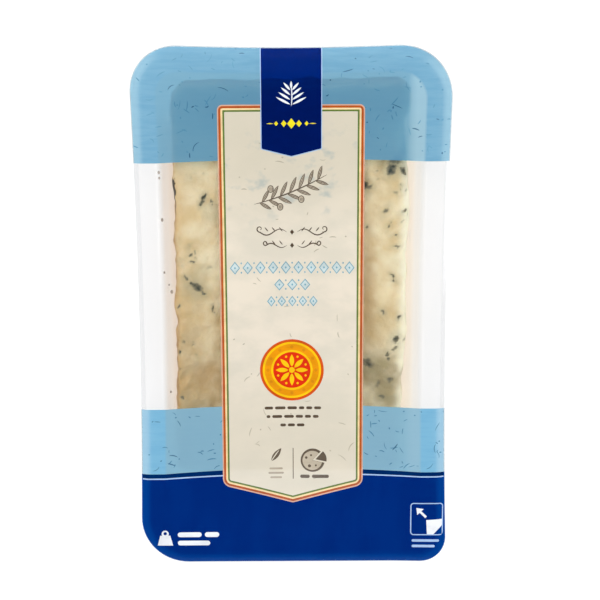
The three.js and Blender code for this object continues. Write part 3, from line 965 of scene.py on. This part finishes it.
# the lip colours of blue, azure and navy are painted highlights, and the colours that blue and azure take
# inside the seal are painted shade
INKS = {
    "blue": ink(
        (96, 150, 186), (0.5, 0.85, 0.9), 0.77, (80, 139, 179), lip_highlight_colour=(172, 204, 222),
        hollow_shade_colour=(97, 147, 178), **FIBRES,
    ),
    "azure": ink(
        (118, 175, 207), (0.45, 0.85, 0.95), 0.92, (107, 166, 202), lip_highlight_colour=(184, 210, 226),
        hollow_shade_colour=(130, 169, 189), haze=0.2, **FIBRES,
    ),
    "navy": ink(
        (1, 33, 112), (0.0, 0.1, 0.3), 0.92, (1, 41, 122), lump=10.0, stretch=(1, 0.3), shine=0.04,
        lip_highlight_colour=(1, 72, 156),
    ),
    "deep": ink((0, 36, 92), (0.0, 0.1, 0.2), 0.95, (0, 33, 86), shine=0.03),
    "ribbon": ink((1, 22, 88), (0.0, 0.12, 1.0), 0.9, (1, 19, 80), shine=0.02),
    "cream": label_paper,
    "fleck": ink((44, 96, 134), (0.3, 0.6, 0.75), 0.75),
    "fibre": ink((80, 138, 174), (0.42, 0.76, 0.85), 0.77),
    # on the row below, edge is painted shade along the cut edge; rim, further down, is its painted highlight
    # on the navy
    "edge": ink((120, 136, 146), (0.8, 0.9, 0.94), 0.36),
    # on the row below: painted shade on the bare film's lip
    "haze": ink((200, 204, 208), (0.94, 0.942, 0.947), 0.04),
    "rim": ink((4, 66, 154), (0.0, 0.3, 0.7), 0.85, shine=0.1),
}
INKS |= {name: ink(colour, cover=cover) for name, (colour, cover) in PLAIN_INKS.items()}


# Cheese

def lattice(cells, seed):
    """A number from 0 to 1 for each lattice cell."""
    wide = (cells.astype(np.int64) & 0xFFFFFFFF).astype(np.uint64)
    mask = np.uint64(0xFFFFFFFF)
    h = wide[:, 0] * 374761393 + wide[:, 1] * 668265263 + wide[:, 2] * 1274126177 + seed * 974711
    h = h & mask
    h = ((h ^ (h >> 13)) * 1103515245) & mask
    h = ((h ^ (h >> 16)) * 2246822519) & mask
    return (h ^ (h >> 15)).astype(float) / 4294967296


def value_noise(points, size, seed):
    """Smooth noise from -1 to 1 at each point, with lumps of a size."""
    spot = points / size
    cell = np.floor(spot)
    part = spot - cell
    part = part * part * (3 - 2 * part)
    total = np.zeros(len(points))
    for corner in np.ndindex(2, 2, 2):
        weight = np.where(corner, part, 1 - part).prod(1)
        total += weight * lattice(cell + corner, seed)
    return 2 * total - 1


def streak_spots(points, normals, rng):
    """The streaks as ragged spots: place, axis, radius, length and strength of each."""
    for x, y, radius, length, turn, strength in STREAKS:
        at = np.array((x, y, 0)) - (*OUTLINE_MIDDLE, 0)
        top = points[(normals[:, 2] > 0.5) & (np.hypot(*(points[:, :2] - at[:2]).T) < 1.5)]
        at[2] = top[:, 2].mean() if len(top) else 10.0
        axis = np.array((cos(radians(turn)), sin(radians(turn)), 0))
        count = 2 + int(length)
        for share in np.linspace(-1, 1, count):
            middle = at + axis * share * radius * (length - 1) + rng.normal(0, radius * 0.22, 3)
            thin = radius * rng.uniform(0.55, 1.0) * (1 - 0.4 * abs(share))
            yield middle, axis, thin, rng.uniform(1.2, 2.0), strength * rng.uniform(0.75, 1.0)


def scattered_spots(points, clusters, rng):
    """Spots in loose clusters among the points."""
    for middle in points[rng.integers(0, len(points), clusters)]:
        for _ in range(rng.integers(*SPOTS_A_CLUSTER)):
            axis = rng.normal(0, 1, 3)
            axis /= np.linalg.norm(axis)
            at = middle + rng.normal(0, CLUSTER_SPREAD, 3)
            yield at, axis, rng.uniform(*SPOT_RADIUS), rng.uniform(1, 3), rng.uniform(*SPOT_STRENGTH)


def mould_fields(points, normals):
    """How mouldy each point is, and how far mould shows up from below it."""
    rng = np.random.default_rng(SEED + 2)
    spots = [*streak_spots(points, normals, rng), *scattered_spots(points, CLUSTERS, rng)]
    spots += scattered_spots(points[np.abs(normals[:, 2]) < 0.3], SIDE_CLUSTERS, rng)
    warped = points.copy()
    for axis in range(3):
        coarse, fine = value_noise(points, 1.8, 31 + axis), value_noise(points, 0.8, 35 + axis)
        warped[:, axis] += 0.5 * coarse + 0.3 * fine
    mould, halo = np.zeros(len(points)), np.zeros(len(points))
    for at, axis, radius, length, strength in spots:
        near = np.flatnonzero((np.abs(warped - at) < radius * length * 5).all(1))
        arm = warped[near] - at
        along = arm @ axis
        across = np.linalg.norm(arm - along[:, None] * axis, axis=1)
        away = np.hypot(across, along / length) / radius
        mould[near] = np.maximum(mould[near], strength * ramp(away, 1.9, 0.2))
        halo[near] = np.maximum(halo[near], strength * ramp(away, 4.5, 0.8))
    return mould, halo


def patch_fields(points):
    """How tan and how olive the paste is at each point: tanner towards -X and -Y, and in the patches, of
    which the strips beside the label are partly painted shadow.
    """
    # tanner towards -X and -Y
    tan_and_shade = 0.3 * ramp(points[:, 1], 25, -35) * ramp(points[:, 0], 30, -30)
    olive = np.zeros(len(points))
    wander = 0.5 * value_noise(points, 5.0, 71) + 0.25 * value_noise(points, 2.0, 72)
    for x, y, half_x, half_y, tan_and_shade_share, olive_share in PATCHES:
        plan = (points[:, :2] + OUTLINE_MIDDLE - (x, y)) / (half_x, half_y)
        here = ramp(np.hypot(*plan.T) + wander, 1.6, 0.1)
        # the strips beside the label put painted shadow into this tan
        tan_and_shade = np.maximum(tan_and_shade, tan_and_shade_share * here)
        olive = np.maximum(olive, olive_share * here)
    return tan_and_shade, olive


def make_cheese():
    """The wedge: the solid remeshed, crumbled, pitted at the mould and painted."""
    solid = add_object("cheese_wedge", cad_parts["cheese"].data.copy())
    remesh = solid.modifiers.new("remesh", "REMESH")
    remesh.mode = "VOXEL"
    remesh.voxel_size = VOXEL * MM
    relax = solid.modifiers.new("relax", "SMOOTH")
    relax.factor = 0.5
    relax.iterations = 10
    view = bpy.context.evaluated_depsgraph_get()
    mesh = bpy.data.meshes.new_from_object(solid.evaluated_get(view))
    solid.modifiers.clear()
    solid.data = mesh
    points = np.array([v.co for v in mesh.vertices]) / MM
    normals = np.array([v.normal for v in mesh.vertices])
    low, high = points.min(0), points.max(0)
    x, y, z = points.T
    mould, halo = mould_fields(points, normals)
    ragged = value_noise(points, 2.2, 41) * 0.7 + value_noise(points, 0.9, 42) * 0.5
    from_rind = np.minimum(x - low[0], high[1] - y) + ragged
    rind = ramp(from_rind, RIND_DEPTH + 0.5, RIND_DEPTH - 0.5)
    under = np.exp(-np.maximum(from_rind - RIND_DEPTH, 0) / UNDER_RIND)
    along = y + 2 * ragged
    scar = ramp(x - low[0] + ragged, 1.8, 1.0) * ramp(normals[:, 2], -0.05, 0.2)
    scar *= ramp(along, SCAR[0] - 1, SCAR[0] + 2) * ramp(along, SCAR[1] + 1, SCAR[1] - 2)

    depth = -PIT_DEPTH * mould
    for k, (size, amount) in enumerate(CHEESE_CRAG):
        depth += amount * value_noise(points, size, 50 + k) * (1 + 0.8 * rind)
    settle = ramp(z - low[2], 0.0, 1.5)
    moved = points + normals * (depth * settle)[:, None]
    swell = ramp(x, SWELL_FROM, high[0])
    moved[:, 0] += FLARE * ramp(y, *FLARE_SPAN) * swell
    bulge = ramp(y, *BULGE_SPANS[0]) * ramp(y, *BULGE_SPANS[1])
    moved[:, 0] += BULGE * bulge * swell
    moved[:, 0] -= SPREAD * ramp(y, *SPREAD_SPAN) * ramp(x, 0, low[0])
    mesh.vertices.foreach_set("co", (moved * MM).ravel())
    # painted highlight: upward-facing paste near the edge at +X, brightened as if lit through from the side
    edge_highlight = ramp(high[0] - x, *EDGE_HIGHLIGHT_SPAN) * ramp(normals[:, 2], -0.1, 0.3)
    tone = np.full(len(points), 0.5)
    for size, strength, seed in CLOUDS:
        tone += strength * value_noise(points, size, seed)
    fields = dict(mould=mould, halo=halo, rind=rind, under=under, tone=tone, scar=scar, edge_highlight=edge_highlight)
    # the tan field is in part painted shadow beside the label
    fields["tan"], fields["olive"] = patch_fields(points)
    for name, values in fields.items():
        paint(mesh, name, values)
    mesh.materials.clear()
    mesh.materials.append(cheese_paste(fields))
    mesh.shade_smooth()
    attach(solid, "root")
    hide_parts("cheese")


def cheese_paste(names):
    """Moist ivory paste with blue-green mould, tan under the rind, and a rough brown rind. The top of its
    edge at +X has a painted highlight, and the tan strips beside the label are partly painted shadow.
    """
    g = new_look("cheese_paste")
    field = {name: g.attribute(name) for name in names}
    shade = {name: linear(*levels) for name, levels in PASTE.items()}
    place = g.place()
    grain = g.noise(place, 900.0, 4.0, 0.65)
    cloud = g.noise(place, 200.0, 3.0)
    uneven = g.math("SUBTRACT", grain, 0.5)
    lumps = g.math("ADD", field["tone"], g.math("MULTIPLY", g.math("SUBTRACT", cloud, 0.5), 0.9))
    paste = g.blend(g.span(lumps, 0.1, 0.9), shade["dull"], shade["bright"])
    paste = g.blend(field["under"], paste, shade["under"], 0.6)
    # painted highlight along the edge at +X
    paste = g.blend(field["edge_highlight"], paste, shade["edge_highlight"], 0.95)
    # tan, in part painted shadow beside the label
    paste = g.blend(field["tan"], paste, shade["tan"])
    paste = g.blend(field["olive"], paste, shade["olive"], 0.75)
    stain = g.math("MULTIPLY", field["halo"], g.span(grain, 0.3, 0.75, 0.25, 0.7))
    paste = g.blend(stain, paste, shade["stain"])
    spot = g.math("ADD", field["mould"], g.math("MULTIPLY", g.math("MULTIPLY", uneven, field["halo"]), 0.9))
    paste = g.blend(g.span(spot, 0.1, 0.5), paste, shade["fringe"])
    paste = g.blend(g.span(spot, 0.42, 0.9), paste, shade["mould"])
    crust = g.blend(g.span(cloud, 0.35, 0.65), shade["crust"], shade["pale_crust"])
    crust = g.blend(g.span(grain, 0.58, 0.8), crust, shade["speck"])
    colour = g.blend(field["rind"], paste, crust)
    colour = g.blend(g.span(field["scar"], 0.35, 0.65), colour, shade["scar"])
    relief = g.math("ADD", g.math("MULTIPLY", grain, 0.6), g.math("MULTIPLY", cloud, 0.8))
    inputs = {
        "Base Color": colour, "Roughness": g.span(cloud, 0.3, 0.7, 0.38, 0.6), "Specular IOR Level": 0.4,
        "Normal": g.bump(relief, 0.0009, 0.55),
        "Subsurface Weight": 0.12, "Subsurface Radius": (0.003, 0.002, 0.001), "Subsurface Scale": 0.6,
    }
    return g.finish(g.add("BsdfPrincipled", inputs))


# Stage, light and camera

def make_camera():
    """The photograph's view: above the pack, leaning towards its ribbon end."""
    camera = bpy.data.cameras.new("camera")
    camera.sensor_width = 36.0
    camera.lens = camera.sensor_width * FOCAL_PIXELS / IMAGE_SIDE
    camera.shift_x = (IMAGE_SIDE / 2 - PACK_PIXEL[0]) / IMAGE_SIDE
    camera.shift_y = (PACK_PIXEL[1] - IMAGE_SIDE / 2) / IMAGE_SIDE
    camera.clip_start = 0.01
    back = Vector((0, sin(CAMERA_TILT), cos(CAMERA_TILT)))
    turn = Matrix.Rotation(CAMERA_ROLL, 3, back)
    right = turn @ Vector((1, 0, 0))
    up = back.cross(right)
    eye = Vector((*-OUTLINE_MIDDLE, OUTLINE_HEIGHT)) + back * CAMERA_DISTANCE
    holder = add_object("camera", camera)
    holder.matrix_world = Matrix.Translation(eye * MM) @ Matrix((right, up, back)).transposed().to_4x4()
    scene.camera = holder


def make_lamp(name, place, size, power):
    """A square softbox that faces the pack; its power is in watts."""
    light = bpy.data.lights.new(name, "AREA")
    light.size = size
    light.energy = power
    lamp = add_object(name, light)
    lamp.location = place
    lamp.rotation_euler = (-Vector(place)).to_track_quat("-Z", "Y").to_euler()


def make_floor():
    """A plain pale floor just under the pack."""
    corners = [(x * FLOOR_HALF, y * FLOOR_HALF, -FLOOR_DROP) for x, y in ((-1, -1), (1, -1), (1, 1), (-1, 1))]
    mesh = bpy.data.meshes.new("floor")
    mesh.from_pydata(corners, [], [(0, 1, 2, 3)])
    g = new_look("floor_paint")
    tint = g.blend(g.noise(g.place(), 40.0), (0.31, 0.31, 0.31, 1), (0.33, 0.33, 0.33, 1))
    inputs = {
        "Base Color": tint, "Roughness": 0.8, "Specular IOR Level": 0.1,
        "Emission Color": (1, 1, 1, 1), "Emission Strength": FLOOR_GLOW,
    }
    mesh.materials.append(g.finish(g.add("BsdfPrincipled", inputs)))
    floor = add_object("floor", mesh)


def make_sky():
    """A soft sky that is dim overhead, so that the film's colours stay deep."""
    g = Graph(bpy.data.worlds.new("sky"))
    coords = g.add("TexCoord", output="Generated")
    up = g.add("SeparateXYZ", {0: coords}, output="Z")
    inputs = {"Color": (0.97, 0.98, 1.0, 1), "Strength": g.span(up, 0.05, 0.85, 1.15, 0.08)}
    scene.world = g.finish(g.add("Background", inputs), "OutputWorld")


make_camera()
make_floor()
for lamp in LAMPS:
    make_lamp(*lamp)
make_sky()
scene.view_settings.view_transform = "Standard"
scene.cycles.transparent_max_bounces = 40
make_tray()
make_cheese()
make_film()
